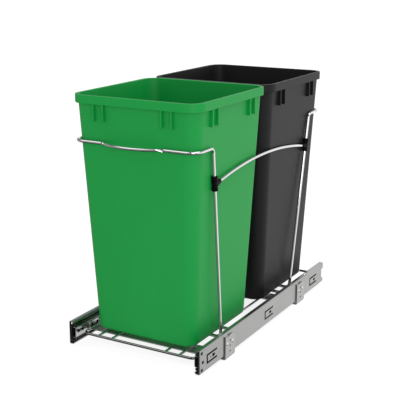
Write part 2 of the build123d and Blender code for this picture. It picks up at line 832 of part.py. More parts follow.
def make_bin(middle_y):
    """Tapered bin: drafted shell, turned-down rim and gussets under the rim."""
    foot_width = 2 * (body_half_width - bin_taper)
    foot_length = 2 * (body_half_length - bin_taper)
    mouth_width = 2 * (body_half_width - bin_wall)
    mouth_length = 2 * (body_half_length - bin_wall)
    floor_top = bin_bottom + bin_wall
    gusset_bottom = rim_top - bin_rim_height - gusset_height
    with BuildPart() as shell:
        # outside of the body, rounded into its floor
        with BuildSketch(Plane((0, middle_y, bin_bottom))):
            RectangleRounded(foot_width, foot_length, bin_bottom_corner)
        with BuildSketch(Plane((0, middle_y, rim_top))):
            RectangleRounded(2 * body_half_width, 2 * body_half_length, bin_top_corner)
        loft(ruled=True)
        fillet(shell.edges().group_by(Axis.Z)[0], radius=bin_floor_bend)
        # rim: a flat top with a skirt hanging from its edge
        with BuildSketch(Plane((0, middle_y, rim_top))):
            RectangleRounded(bin_width, bin_length, bin_top_corner + bin_overhang)
        extrude(amount=-bin_wall)
        with BuildSketch(Plane((0, middle_y, rim_top))):
            RectangleRounded(bin_width, bin_length, bin_top_corner + bin_overhang)
            offset(amount=-bin_wall, mode=Mode.SUBTRACT)
        extrude(amount=-bin_rim_height)
        fillet(shell.faces().sort_by(Axis.Z)[-1].outer_wire().edges(), radius=bin_rim_edge)
        # gussets, drawn right across and cut away inside by the mouth
        with BuildSketch(Plane((0, middle_y, gusset_bottom))):
            for place in gusset_places:
                with Locations((0, place), (0, -place)):
                    Rectangle(bin_width - 2 * gusset_inset, gusset_sheet)
                with Locations((place, 0), (-place, 0)):
                    Rectangle(gusset_sheet, bin_length - 2 * gusset_inset)
        extrude(amount=rim_top - gusset_bottom - bin_wall / 2)
        # inside
        with BuildSketch(Plane((0, middle_y, floor_top))):
            RectangleRounded(
                foot_width - 2 * bin_wall, foot_length - 2 * bin_wall, bin_bottom_corner - bin_wall
            )
        with BuildSketch(Plane((0, middle_y, rim_top))):
            RectangleRounded(mouth_width, mouth_length, bin_top_corner - bin_wall)
        loft(ruled=True, mode=Mode.SUBTRACT)
    return shell


green_bin = make_bin(green_bin_y)
save(green_bin, "green_bin")

black_bin = make_bin(black_bin_y)
save(black_bin, "black_bin")
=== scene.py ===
"""Looks of the double-bin pull-out waste frame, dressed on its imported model.

Lengths are metres in the model's own frame: X across, -Y the way the frame pulls out, +Z up.
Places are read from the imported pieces; the named lengths below are only what a box can't tell.
"""

from math import asin, atan, ceil, pi, radians, sin, tan, tau

import bmesh
import bpy
import numpy as np
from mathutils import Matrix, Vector


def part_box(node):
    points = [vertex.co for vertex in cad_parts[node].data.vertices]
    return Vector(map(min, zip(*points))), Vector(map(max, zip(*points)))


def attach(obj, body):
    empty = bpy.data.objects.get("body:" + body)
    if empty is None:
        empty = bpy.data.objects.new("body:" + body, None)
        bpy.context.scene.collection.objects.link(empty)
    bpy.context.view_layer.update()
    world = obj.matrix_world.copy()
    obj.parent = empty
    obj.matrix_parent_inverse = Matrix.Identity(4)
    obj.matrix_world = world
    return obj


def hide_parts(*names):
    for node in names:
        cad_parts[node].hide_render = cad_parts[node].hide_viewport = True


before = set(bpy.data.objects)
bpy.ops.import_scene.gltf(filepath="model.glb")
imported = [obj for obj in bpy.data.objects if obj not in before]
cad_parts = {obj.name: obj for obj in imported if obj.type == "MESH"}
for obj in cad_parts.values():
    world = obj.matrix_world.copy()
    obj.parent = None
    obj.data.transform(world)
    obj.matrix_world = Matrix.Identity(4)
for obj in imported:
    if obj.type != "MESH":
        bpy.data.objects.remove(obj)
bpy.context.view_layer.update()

MM = 0.001

# ------------------------------------------------------------ named lengths

# bins
BIN_WALL = 2.2 * MM
BIN_OVERHANG = 5.0 * MM
BIN_SKIRT = 15.0 * MM
BIN_TAPER = 21.0 * MM
BIN_TOP_CORNER = 25.0 * MM
BIN_FOOT_CORNER = 23.0 * MM
BIN_FLOOR_BEND = 6.0 * MM
RIM_EDGE = 1.0 * MM
MOUTH_EDGE = 0.7 * MM
SKIRT_EDGE = 0.5 * MM
GUSSET_HEIGHT = 30.3 * MM
GUSSET_SHEET = 3.0 * MM
GUSSET_INSET = 0.8 * MM
GUSSET_PLACES = (60.0 * MM, 80.0 * MM)
GUSSET_EDGE = 0.4 * MM
GUSSET_CORNER_SHARE = 0.6  # of the edge's draw-in, which its corner follows

# rows of points this far from an edge keep the face beside it flat
FLAT_NEAR = 0.5 * MM
FLAT_ROW = 1.0 * MM
FLAT_FAR = 2.0 * MM
THIN_EASE = 0.1 * MM

# wires
BASE_CORNER = 12.0 * MM
BASE_SPREAD = 7.2 * MM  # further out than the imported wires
# where the base perimeter's painted dark reflection starts, in from its front and rear ends along Y
BASE_DARK_REFLECTION_RUN = 10.0 * MM
INNER_LONG_WIRE = 58.5 * MM
WIRE_END_EDGE = 0.6 * MM
HOOP_FOOT_X = 120.0 * MM
FRONT_LEG_LEAN = 44.0 * MM
REAR_LEG_LEAN = 64.0 * MM
HOOP_BEND = 10.0 * MM
RAIL_CORNER = 20.0 * MM
BOW_HALF_WIDTH = 67.0 * MM
BOW_DEPTH = 18.0 * MM
BOW_KINK = 12.0 * MM
CLIP_DROP = 65.5 * MM
ARC_END_GAP = 5.0 * MM
WELD_REACH = 3.6 * MM
WELD_HEIGHT = 1.3 * MM
WELD_POLE = 0.05  # radians left flat at each pole

# clips
CLIP_LENGTH = 27.0 * MM
CLIP_RISE = 1.5 * MM
CLIP_DIAMETER = 12.0 * MM
CLIP_EDGE = 1.0 * MM
CLIP_COLLAR = (4.5 * MM, 5.2 * MM)  # from each end: where a collar stops and the waist starts
CLIP_RIB = 0.5 * MM
CLIP_FLAT = 4.2 * MM
STUB_LENGTH = 19.0 * MM
STUB_WIDTH = 10.6 * MM
STUB_ROOT = 15.0 * MM
STUB_MOUTH = 8.4 * MM
STUB_LIP_SHARE = 0.9  # of the wall at the mouth, which the lip's edge rounds off
BORE_GAP = 0.1 * MM

# fasteners
RIVET_HEAD = 7.0 * MM
RIVET_HEIGHT = 1.6 * MM
RIVET_SHANK = 4.0 * MM
RIVET_GRIP = 3.7 * MM
RIVET_PITCH = 20.0 * MM
RIVET_CROWN = 0.04  # share of the dome left flat at its crown
SCREW_HEAD = 8.0 * MM
SCREW_HEIGHT = 2.4 * MM
SCREW_SHANK = 4.0 * MM
SCREW_GRIP = 6.0 * MM
PAN_DROP = 0.55  # share of the height that the pan has lost at its rim
RECESS_DEPTH = 1.1 * MM
RECESS_REACH = 2.3 * MM
RECESS_WIDTH = 0.55 * MM
RECESS_SIDE = 0.25 * MM
RECESS_END = 0.5 * MM

# balls in their cages
BALLS_PER_ROW = 4
BALL_POLE = 0.03  # radians left flat at each pole

# punched shapes of the slides' webs, from the slide's front end and bottom
HOLE_RADIUS = 2.25 * MM
HOLE_REACH = 2.05 * MM  # of the rectangle round a hole, drawn in because a circle fills it less
# each front hole's place along Y and its height
FRONT_HOLES = ((7.0 * MM, 6.6 * MM), (11.0 * MM, 20.3 * MM), (7.0 * MM, 38.4 * MM))
TONGUE_STATIONS = (25.5 * MM, 260.5 * MM, 484.0 * MM)
TONGUE_LENGTH = 36.0 * MM
TONGUE_SLOTS = (13.15 * MM, 28.05 * MM)
TONGUE_SLOT = 2.3 * MM
TONGUE_HOLE = (21.0 * MM, 28.0 * MM)
INNER_HOLES = (11.7 * MM, 24.0 * MM)
INNER_HOLE_HEIGHT = 23.3 * MM
# slot and spare hole of a strap's tab: front end, rear end and reach up and down
STRAP_HOLES = ((4.3 * MM, 7.7 * MM, 2.9 * MM), (20.9 * MM, 25.1 * MM, 2.1 * MM))
# reach of the painted shade round each punched shape
PAINTED_SHADE_REACH = (1.4 * MM, 0.7 * MM)  # along Y and along Z

# guide noses inside the inner slides
NOSE_SPACE = 4.5 * MM  # from the inner slide's face to the nose
NOSE_ROOT = 0.7 * MM  # past the inner slide, towards the guide that carries it
NOSE_LENGTH = 12.5 * MM
NOSE_GAP = 1.8 * MM  # below the inner slide's top and above its bottom
NOSE_EDGE = 0.8 * MM
NOSE_CORNER = 1.2 * MM


def middle(node):
    """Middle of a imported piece's box."""
    low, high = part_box(node)
    return (np.array(low) + np.array(high)) / 2


def size(node):
    """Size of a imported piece's box."""
    low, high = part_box(node)
    return np.array(high) - np.array(low)


# ------------------------------------------------------------ surfaces

SHARP_ANGLE = radians(32)


def shell(grid, looped=False):
    """Faces of a grid of points whose columns close on themselves.

    Each quad joins two neighbouring columns of two neighbouring rows. A looped grid joins its
    last row to its first; any other has a flat face at each end.
    """
    rows, columns = grid.shape[:2]
    index = np.arange(rows * columns).reshape(rows, columns)
    last = rows if looped else rows - 1
    low = index[:last]
    high = np.roll(index, -1, axis=0)[:last]
    quads = np.stack([low, np.roll(low, -1, axis=1), np.roll(high, -1, axis=1), high], axis=-1)
    ends = [] if looped else [index[0, ::-1].tolist(), index[-1].tolist()]
    return grid.reshape(-1, 3), quads.reshape(-1, 4).tolist() + ends


def unit(vectors):
    """Vectors divided by their own lengths."""
    return vectors / np.linalg.norm(vectors, axis=-1, keepdims=True)


def rounded_loop(corners, radii, step=radians(6)):
    """Closed path of straight runs joined by tangent arcs.

    At a corner P where the run turns by t, the arc of radius r starts r tan(t/2) short of P. Its
    points are C - r cos(a) N + r sin(a) D for a from 0 to t, where D is the run's direction, N the
    side it turns to and C = start + r N.
    """
    corners = np.array(corners, float)
    before = np.roll(corners, 1, axis=0)
    after = np.roll(corners, -1, axis=0)
    arcs = []
    for last, corner, following, radius in zip(before, corners, after, radii):
        way_in = unit(corner - last)
        way_out = unit(following - corner)
        turn = np.arccos(np.clip(way_in @ way_out, -1, 1))
        inward = unit(way_out - (way_out @ way_in) * way_in)
        start = corner - way_in * radius * np.tan(turn / 2)
        angle = np.linspace(0, turn, ceil(turn / step) + 1)[:, None]
        centre = start + radius * inward
        arcs.append(centre - radius * np.cos(angle) * inward + radius * np.sin(angle) * way_in)
    return np.concatenate(arcs)


def wire(path, radius, aside, looped=False, sides=24):
    """Round wire: P + r (cos a S + sin a U), for a once round.

    P runs along the path, S is square to the path's tangent T and to the direction aside, which
    the path never takes, and U = T x S. The radius may be one number or one for each point.
    """
    ahead = np.roll(path, -1, axis=0) - path
    behind = path - np.roll(path, 1, axis=0)
    if not looped:
        ahead[-1] = behind[-1]
        behind[0] = ahead[0]
    tangent = unit(unit(ahead) + unit(behind))
    side = unit(np.cross(tangent, np.array(aside, float)))
    up = np.cross(tangent, side)
    angle = np.linspace(0, tau, sides, endpoint=False)[None, :, None]
    radius = np.broadcast_to(radius, len(path))[:, None, None]
    ring = np.cos(angle) * side[:, None] + np.sin(angle) * up[:, None]
    return shell(path[:, None] + radius * ring, looped)


def cut_wire(start, end, radius, aside):
    """Straight wire whose two ends' edges are rounded off by a quarter circle of WIRE_END_EDGE."""
    start = np.array(start, float)
    end = np.array(end, float)
    way = unit(end - start)
    angle = np.linspace(0, pi / 2, 5)
    along = (WIRE_END_EDGE * (1 - np.cos(angle)))[:, None] * way
    around = radius - WIRE_END_EDGE * (1 - np.sin(angle))
    path = np.concatenate([start + along, end - along[::-1]])
    return wire(path, np.concatenate([around, around[::-1]]), aside)


def turned(along, radius, base, axis, looped=False, sides=32):
    """Surface of revolution: base + s A + r (cos a S + sin a U), for a once round.

    The profile gives s along the unit axis A and the radius r. A looped profile closes on itself,
    as a bored piece's does; any other ends in a small flat face.
    """
    axis = unit(np.array(axis, float))
    aside = np.eye(3)[np.argmin(np.abs(axis))]
    side = unit(np.cross(axis, aside))
    up = np.cross(axis, side)
    angle = np.linspace(0, tau, sides, endpoint=False)[None, :, None]
    ring = np.cos(angle) * side + np.sin(angle) * up
    spine = np.array(base, float) + np.asarray(along)[:, None] * axis
    return shell(spine[:, None] + np.asarray(radius)[:, None, None] * ring, looped)


def rounded_stack(half_x, half_y, corner, height, centre=(0.0, 0.0), steps=14, ease=1.5 * MM):
    """Rounded rectangles stacked up: x = +-(X - c) + c cos a and y = +-(Y - c) + c sin a.

    X and Y are half sizes and c the corner radius, and a takes each quarter turn in steps. Any of
    them, and the centre, may be one number or one for every height. Two more points the ease's
    way into each straight side keep it flat.
    """
    quarter = np.arange(4)[:, None] * pi / 2
    turn = np.linspace(0, pi / 2, steps)
    angle = quarter + np.concatenate([[0], turn, [pi / 2]])[None]
    slide = np.zeros_like(angle)
    slide[:, 0] = -ease
    slide[:, -1] = ease
    sign_x = np.broadcast_to(np.sign(np.cos(quarter + pi / 4)), angle.shape).ravel()
    sign_y = np.broadcast_to(np.sign(np.sin(quarter + pi / 4)), angle.shape).ravel()
    angle = angle.ravel()
    slide = slide.ravel()
    half_x, half_y, corner, middle_x, middle_y, height = (
        np.broadcast_to(values, len(height))[:, None]
        for values in (half_x, half_y, corner, *centre, height)
    )
    x = middle_x + sign_x * (half_x - corner) + corner * np.cos(angle) - slide * np.sin(angle)
    y = middle_y + sign_y * (half_y - corner) + corner * np.sin(angle) + slide * np.cos(angle)
    return np.stack([x, y, np.broadcast_to(height, x.shape)], axis=-1)


def left_of(surface):
    """A right-hand surface mirrored across the middle plane."""
    points, faces = surface
    return points * (-1, 1, 1), faces


def piece(name, surfaces, body, slot, finish, *replaced):
    """One object from closed surfaces, smooth but for its sharp edges, riding on a body."""
    mesh = bpy.data.meshes.new(name)
    points = []
    faces = []
    count = 0
    for surface_points, surface_faces in surfaces:
        points.append(surface_points)
        faces.extend([[corner + count for corner in face] for face in surface_faces])
        count += len(surface_points)
    mesh.from_pydata(np.concatenate(points).tolist(), [], faces)
    shape = bmesh.new()
    shape.from_mesh(mesh)
    bmesh.ops.recalc_face_normals(shape, faces=shape.faces)
    shape.to_mesh(mesh)
    shape.free()
    mesh.polygons.foreach_set("use_smooth", np.ones(len(mesh.polygons), bool))
    mesh.set_sharp_from_angle(angle=SHARP_ANGLE)
    mesh.materials.append(finish)
    made = bpy.data.objects.new(name, mesh)
    bpy.context.scene.collection.objects.link(made)
    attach(made, body)
    if replaced:
        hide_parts(*replaced)


# ------------------------------------------------------------ shader sums


class Signal:
    """A node's output used as a number: each operator adds one Math node."""

    def __init__(self, nodes, socket):
        self.nodes = nodes
        self.socket = socket

    def math(self, operation, first, second):
        return self.nodes.node("ShaderNodeMath", {"operation": operation}, {0: first, 1: second})

    def __add__(self, other):
        return self.math("ADD", self, other)

    def __radd__(self, other):
        return self.math("ADD", other, self)

    def __sub__(self, other):
        return self.math("SUBTRACT", self, other)

    def __rsub__(self, other):
        return self.math("SUBTRACT", other, self)

    def __mul__(self, other):
        return self.math("MULTIPLY", self, other)

    def __abs__(self):
        return self.math("ABSOLUTE", self, 0.0)

    def least(self, other):
        return self.math("MINIMUM", self, other)

    def most(self, other):
        return self.math("MAXIMUM", self, other)


class Nodes:
    """A node tree and the ways to add to it."""

    def __init__(self, owner):
        owner.use_nodes = True
        self.tree = owner.node_tree

    def node(self, kind, settings, sockets, output=0):
        """Any node: its settings first, then the values or links of its sockets."""
        made = self.tree.nodes.new(kind)
        for setting, value in settings.items():
            if setting == "stops":
                low, high = made.color_ramp.elements
                low.position, high.position = value
            else:
                setattr(made, setting, value)
        for socket, value in sockets.items():
            self.feed(made.inputs[socket], value)
        return Signal(self, made.outputs[output])

    def feed(self, socket, value):
        """Links a signal to a socket, or sets a plain value on it."""
        if isinstance(value, Signal):
            self.tree.links.new(value.socket, socket)
        else:
            socket.default_value = value

    def mask(self, signal, low, high):
        """0 below low, 1 above high, and a straight ramp between them."""
        return self.node("ShaderNodeValToRGB", {"stops": (low, high)}, {"Fac": signal})

    def mix(self, share, first, second):
        """Colour between two colours."""
        return self.node("ShaderNodeMix", {"data_type": "RGBA"}, {0: share, 6: first, 7: second}, 2)


class Finish(Nodes):
    """One material's nodes round a Principled shader, read in Object coordinates."""

    def __init__(self, name, **constants):
        self.material = bpy.data.materials.new(name)
        super().__init__(self.material)
        self.shader = self.tree.nodes["Principled BSDF"]
        for socket, value in constants.items():
            self.shader.inputs[socket.replace("_", " ")].default_value = value
        self.place = self.node("ShaderNodeTexCoord", {}, {}, "Object")

    def stretched(self, scale):
        """Object coordinates scaled along each axis."""
        return self.node("ShaderNodeMapping", {}, {"Vector": self.place, "Scale": scale})

    def along(self, axis):
        """Object coordinate along one axis."""
        return self.node("ShaderNodeSeparateXYZ", {}, {"Vector": self.place}, axis)

    def noise(self, scale, detail=3.0, roughness=0.5, place=None):
        """Noise about 0, from -0.5 to 0.5, in waves per metre."""
        sockets = {
            "Vector": place or self.place,
            "Scale": scale,
            "Detail": detail,
            "Roughness": roughness,
        }
        return self.node("ShaderNodeTexNoise", {}, sockets) - 0.5

    def bump(self, height, strength, distance):
        """Normal of a height, which is a share of the distance."""
        sockets = {"Height": height, "Strength": strength, "Distance": distance}
        return self.node("ShaderNodeBump", {}, sockets)

    def give(self, **surface):
        """Feeds what changes over the surface and returns the material."""
        for socket, value in surface.items():
            self.feed(self.shader.inputs[socket.replace("_", " ")], value)
        return self.material


def moulded_bin(name, dark, light, specular):
    """Fine-grained injection-moulded plastic: grain in relief, slow flow clouds in its gloss."""
    finish = Finish(name, Specular_IOR_Level=specular)
    flow = finish.noise(7.0, 4.0, 0.55, finish.stretched((1.0, 1.0, 0.35)))
    grain = finish.noise(950.0, 2.0)
    share = finish.mask(flow + 0.5, 0.25, 0.8)
    normal = finish.bump(grain, 0.12, 0.2 * MM)
    rough = 0.43 + flow * 0.12 + grain * 0.05
    colour = finish.mix(share, (*dark, 1), (*light, 1))
    return finish.give(Base_Color=colour, Roughness=rough, Normal=normal)


def chrome_plate(name, dark_reflection_from=None):
    """Bright chrome on drawn wire: a faint ripple in the plating and soft clouds in its gloss.

    dark_reflection_from is a place along Y and a reach: over 2 mm past that reach the colour darkens
    to a painted dark reflection.
    """
    finish = Finish(name, Metallic=1.0)
    ripple = finish.noise(160.0, 2.0)
    cloud = finish.noise(35.0, 3.0)
    share = finish.mask(cloud + 0.5, 0.3, 0.8)
    colour = finish.mix(share, (0.80, 0.79, 0.81, 1), (0.88, 0.87, 0.89, 1))
    if dark_reflection_from:
        centre_y, reach = dark_reflection_from
        past = (abs(finish.along("Y") - centre_y) - reach) * 50 + 0.5
        # painted reflection: dim grey that stands in for dark surroundings mirrored in the chrome
        dull = finish.mix(share, (0.20, 0.20, 0.20, 1), (0.30, 0.30, 0.30, 1))
        colour = finish.mix(finish.mask(past, 0.5, 0.6), colour, dull)
    normal = finish.bump(ripple, 0.05, 0.2 * MM)
    return finish.give(Base_Color=colour, Roughness=0.07 + cloud * 0.06, Normal=normal)


# punched shapes are measured from the lowest front corner of the right slide
slide_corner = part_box("slide_outer_right")[0]


def outer_punching():
    """Rectangles round an outer slide's holes and tongues: (left, right, height, reach)."""
    low, high = TONGUE_SLOTS
    left, right = TONGUE_HOLE
    shapes = [
        (place - HOLE_RADIUS, place + HOLE_RADIUS, height, HOLE_REACH)
        for place, height in FRONT_HOLES
    ]
    for station in TONGUE_STATIONS:
        for height in TONGUE_SLOTS:
            shapes.append((station, station + TONGUE_LENGTH, height, TONGUE_SLOT / 2))
        shapes.append((station, station + TONGUE_SLOT, (low + high) / 2, (high - low) / 2))
        shapes.append((station + left, station + right, (low + high) / 2, HOLE_REACH))
    return shapes


def inner_punching():
    """The same round an inner slide's two holes."""
    return [
        (place - HOLE_REACH, place + HOLE_REACH, INNER_HOLE_HEIGHT, HOLE_REACH)
        for place in INNER_HOLES
    ]


def strap_punching():
    """The same round the slot and the spare hole in each strap's tabs."""
    straps = ("cross_strap_front", "cross_strap_rear")
    fronts = [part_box(strap)[0].y - slide_corner.y for strap in straps]
    return [
        (front + left, front + right, INNER_HOLE_HEIGHT, reach)
        for front in fronts
        for left, right, reach in STRAP_HOLES
    ]


def punched_edge_shade(finish, shapes):
    """1 within PAINTED_SHADE_REACH of a punched shape, where shade is painted on the strip, and 0
    elsewhere.

    Inside a rectangle the lesser of a - |y - y0| and b - |z - z0| is above 0, and the greatest of
    that over all the shapes tells how deep a point lies in any of them. The edge is soft, from
    0.1 mm outside to 0.15 mm inside.
    """
    y = finish.along("Y") - slide_corner.y
    z = finish.along("Z") - slide_corner.z
    wide, tall = PAINTED_SHADE_REACH
    depth = -1.0
    for left, right, height, reach in shapes:
        inside_y = (right - left) / 2 + wide - abs(y - (left + right) / 2)
        inside_z = reach + tall - abs(z - height)
        depth = inside_y.least(inside_z).most(depth)
    return finish.mask(depth * 100 + 0.5, 0.49, 0.515)


def zinc_plate(name, dark, light, gloss, punched=None):
    """Zinc-plated strip steel: rolling lines along Y, a soft mottle and a satin gloss.

    A punched strip has painted shade, near black, at its punched edges and on their cut walls.
    """
    finish = Finish(name, Metallic=1.0)
    lines = finish.noise(1.0, 3.0, 0.6, finish.stretched((900.0, 9.0, 900.0)))
    mottle = finish.noise(120.0, 3.0)
    cloud = finish.noise(14.0, 2.0)
    share = finish.mask(cloud * 0.7 + mottle * 0.5 + lines * 0.35 + 0.5, 0.2, 0.8)
    colour = finish.mix(share, dark, light)
    if punched:
        # painted shade: near black round the punched holes, slots and tongues
        colour = finish.mix(punched_edge_shade(finish, punched), colour, (0.006, 0.006, 0.006, 1))
    normal = finish.bump(lines + mottle * 0.4, 0.10, 0.12 * MM)
    rough = gloss + mottle * 0.10 + lines * 0.10
    return finish.give(Base_Color=colour, Roughness=rough, Normal=normal)


def moulded_black(name, gloss):
    """Glass-filled black plastic: small grain in relief, with slightly lighter clouds and flecks."""
    finish = Finish(name, Specular_IOR_Level=0.06)
    grain = finish.noise(1400.0, 2.0)
    cloud = finish.noise(60.0, 2.0)
    share = finish.mask(cloud + grain * 0.5 + 0.5, 0.2, 0.9)
    colour = finish.mix(share, (0.0012, 0.0012, 0.0012, 1), (0.004, 0.004, 0.0042, 1))
    normal = finish.bump(grain, 0.2, 0.15 * MM)
    return finish.give(Base_Color=colour, Roughness=gloss + cloud * 0.12, Normal=normal)


def ball_polish():
    """Polished bearing steel with a trace of haze."""
    finish = Finish("ball_polish", Metallic=1.0)
    haze = finish.noise(240.0, 2.0)
    share = finish.mask(haze + 0.5, 0.3, 0.8)
    colour = finish.mix(share, (0.62, 0.62, 0.64, 1), (0.72, 0.72, 0.73, 1))
    normal = finish.bump(haze, 0.03, 0.1 * MM)
    return finish.give(Base_Color=colour, Roughness=0.08 + haze * 0.06, Normal=normal)


GREEN = moulded_bin("green_plastic", (0.003, 0.250, 0.040), (0.005, 0.272, 0.047), specular=0.22)
BLACK = moulded_bin("black_plastic", (0.0075, 0.0075, 0.0077), (0.012, 0.012, 0.0124), specular=0.2)
CHROME = chrome_plate("chrome_plate")
# the base perimeter's front and rear runs carry a painted dark reflection
BASE_CHROME = chrome_plate(
    "base_chrome_plate",
    (middle("base_perimeter_wire")[1], size("base_perimeter_wire")[1] / 2 - BASE_DARK_REFLECTION_RUN),
)
SLIDE_ZINC = zinc_plate("slide_zinc", (0.36, 0.36, 0.355, 1), (0.44, 0.44, 0.435, 1), gloss=0.30,
                        punched=outer_punching())
ZINC = zinc_plate("zinc_plate", (0.40, 0.40, 0.395, 1), (0.49, 0.49, 0.485, 1), gloss=0.30)
# painted shade: the middle slides get a near-black zinc so the outer slides' slots look shaded inside
SHADE_DARK_ZINC = zinc_plate("shade_dark_zinc", (0.09, 0.09, 0.088, 1), (0.14, 0.14, 0.138, 1), gloss=0.26)
BRIGHT_ZINC = zinc_plate("bright_zinc", (0.42, 0.42, 0.415, 1), (0.54, 0.54, 0.535, 1), gloss=0.24,
                         punched=inner_punching())
STRAP_ZINC = zinc_plate("strap_zinc", (0.60, 0.60, 0.595, 1), (0.76, 0.76, 0.755, 1), gloss=0.36,
                        punched=strap_punching())
CAGE = zinc_plate("cage_zinc", (0.30, 0.30, 0.295, 1), (0.40, 0.40, 0.395, 1), gloss=0.34)
FASTENER = zinc_plate("fastener_zinc", (0.78, 0.78, 0.77, 1), (0.90, 0.90, 0.89, 1), gloss=0.14)
CLIP = moulded_black("clip_plastic", gloss=0.42)
GUIDE = moulded_black("guide_plastic", gloss=0.5)
BALL = ball_polish()

# ------------------------------------------------------------ bins


def bin_shell(node):
    """Closed shell of one bin: one profile carried round a rounded-rectangle plan.

    The profile is how far the plan has grown past the body's top (g) at each height (z): the
    floor's bend, the drafted wall g = -(top - z) taper / height, the rim's underside, skirt, edge
    and top, the mouth, and the wall and floor inside. A corner's radius grows and shrinks with g.
    """
    low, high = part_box(node)
    top = high.z
    tall = high.z - low.z
    half = size(node) / 2 - BIN_OVERHANG
    draft = BIN_TAPER / tall
    quarter = np.linspace(0, pi / 2, 7)
    rise = 1 - np.cos(quarter)
    fall = 1 - np.sin(quarter)

    def wall(z):
        return -draft * (top - z)

    bend_top = low.z + BIN_FLOOR_BEND
    inner_bend = BIN_FLOOR_BEND - BIN_WALL
    floor_top = low.z + BIN_WALL
    half_way = tall / 2
    under_plate = top - BIN_WALL
    skirt_bottom = top - BIN_SKIRT
    outside = BIN_OVERHANG
    inside = BIN_OVERHANG - BIN_WALL

    # each part of the profile: how far it has grown, and its height
    floor_bend = (
        wall(bend_top) - BIN_FLOOR_BEND * fall,
        bend_top - BIN_FLOOR_BEND * np.cos(quarter),
    )
    wall_heights = np.array(
        [bend_top + FLAT_FAR, bend_top + half_way, under_plate - FLAT_ROW, under_plate]
    )
    outer_wall = (wall(wall_heights), wall_heights)
    skirt_inside = (
        np.array([inside - FLAT_NEAR, inside, inside]),
        np.array([under_plate, under_plate - FLAT_NEAR, skirt_bottom + FLAT_ROW]),
    )
    skirt_end = (
        np.concatenate([inside + SKIRT_EDGE * rise, outside - SKIRT_EDGE * fall]),
        np.concatenate([skirt_bottom + SKIRT_EDGE * fall, skirt_bottom + SKIRT_EDGE * rise]),
    )
    rim_face = [skirt_bottom + FLAT_ROW, top - RIM_EDGE - FLAT_ROW]
    rim_edge = (
        np.concatenate([[outside, outside], outside - RIM_EDGE * rise]),
        np.concatenate([rim_face, top - RIM_EDGE * fall]),
    )
    rim_top = [outside - RIM_EDGE - FLAT_NEAR, -BIN_WALL + MOUTH_EDGE + FLAT_NEAR]
    mouth = (
        np.concatenate([rim_top, -BIN_WALL + MOUTH_EDGE * fall]),
        np.concatenate([[top, top], top - MOUTH_EDGE * rise]),
    )
    inner_heights = np.array([top - FLAT_FAR, low.z + half_way, floor_top + inner_bend + FLAT_FAR])
    inner_wall = (wall(inner_heights) - BIN_WALL, inner_heights)
    inner_floor = (
        wall(floor_top + inner_bend) - BIN_WALL - inner_bend * rise,
        floor_top + inner_bend * fall,
    )
    outer_body = (floor_bend, outer_wall)
    rim = (skirt_inside, skirt_end, rim_edge, mouth)
    inner_body = (inner_wall, inner_floor)
    grow, height = np.concatenate((*outer_body, *rim, *inner_body), axis=1)
    body = np.concatenate(
        [
            np.full(len(part[0]), share)
            for parts, share in ((outer_body, 1.0), (rim, 0.0), (inner_body, 1.0))
            for part in parts
        ]
    )
    # the body's corner radius goes from the foot's to the top's; the rim's keeps the top's centre
    depth = np.clip((top - height) / tall, 0, 1)
    corner_change = BIN_FOOT_CORNER - BIN_TOP_CORNER + BIN_TAPER
    corner = BIN_TOP_CORNER + grow + body * depth * corner_change
    centre = middle(node)[:2]
    return shell(rounded_stack(half[0] + grow, half[1] + grow, corner, height, centre))


def bin_gussets(node):
    """Upright ribs under the rim, thin rounded blocks with their lower edges rounded.

    At each height a rib runs from the middle of the leaning wall, W - (top - z) taper / height, out
    to GUSSET_INSET inside the skirt's face.
    """
    low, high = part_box(node)
    bottom = high.z - BIN_SKIRT - GUSSET_HEIGHT
    quarter = np.linspace(0, pi / 2, 5)
    edge = np.append(GUSSET_EDGE * (1 - np.sin(quarter)), 0)
    height = np.append(bottom + GUSSET_EDGE * (1 - np.cos(quarter)), high.z - BIN_WALL / 2)
    lean = (high.z - height) * BIN_TAPER / (high.z - low.z)
    reach = (BIN_OVERHANG + BIN_WALL / 2 + lean - GUSSET_INSET) / 2
    thin = GUSSET_SHEET / 2 - edge
    corner = GUSSET_EDGE - edge * GUSSET_CORNER_SHARE
    centre = middle(node)
    half = size(node) / 2 - GUSSET_INSET
    long = reach - edge

    def rib(half_x, half_y, place):
        return shell(rounded_stack(half_x, half_y, corner, height, place, steps=4, ease=THIN_EASE))

    ribs = []
    for side in (1, -1):
        for place in (*GUSSET_PLACES, *(-place for place in GUSSET_PLACES)):
            across = (centre[0] + side * (half[0] - reach), centre[1] + place)
            ahead = (centre[0] + place, centre[1] + side * (half[1] - reach))
            ribs += [rib(long, thin, across), rib(thin, long, ahead)]
    return ribs


for node, finish in (("green_bin", GREEN), ("black_bin", BLACK)):
    surfaces = [bin_shell(node), *bin_gussets(node)]
    piece(f"{node}_shell", surfaces, node, f"{node}_plastic", finish, node)

# ------------------------------------------------------------ base wires

ACROSS = (1.0, 0.0, 0.0)
UP = (0.0, 0.0, 1.0)
OFF_EVERY_RUN = (0.5, 0.8, 0.3)


def carriage_wire(name, surfaces, node, finish=CHROME):
    """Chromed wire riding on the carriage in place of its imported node."""
    piece(name, surfaces, "carriage", "chrome_wire", finish, node)


base_low, base_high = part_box("base_perimeter_wire")
base_radius = (base_high.z - base_low.z) / 2
base_z = base_low.z + base_radius
base_x = base_high.x - base_radius + BASE_SPREAD
base_front = base_low.y + base_radius
base_rear = base_high.y - base_radius

base_corners = [
    (base_x, base_front, base_z),
    (base_x, base_rear, base_z),
    (-base_x, base_rear, base_z),
    (-base_x, base_front, base_z),
]
base_loop = rounded_loop(base_corners, [BASE_CORNER] * len(base_corners))
base_perimeter = wire(base_loop, base_radius, UP, looped=True)
carriage_wire("base_perimeter", [base_perimeter], "base_perimeter_wire", BASE_CHROME)

outer_long_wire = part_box("base_long_wires")[1].x - base_radius
long_places = (outer_long_wire, INNER_LONG_WIRE, -INNER_LONG_WIRE, -outer_long_wire)
long_wires = [
    wire(np.array([(x, base_front, base_z), (x, base_rear, base_z)]), base_radius, UP)
    for x in long_places
]
carriage_wire("base_long_bars", long_wires, "base_long_wires")

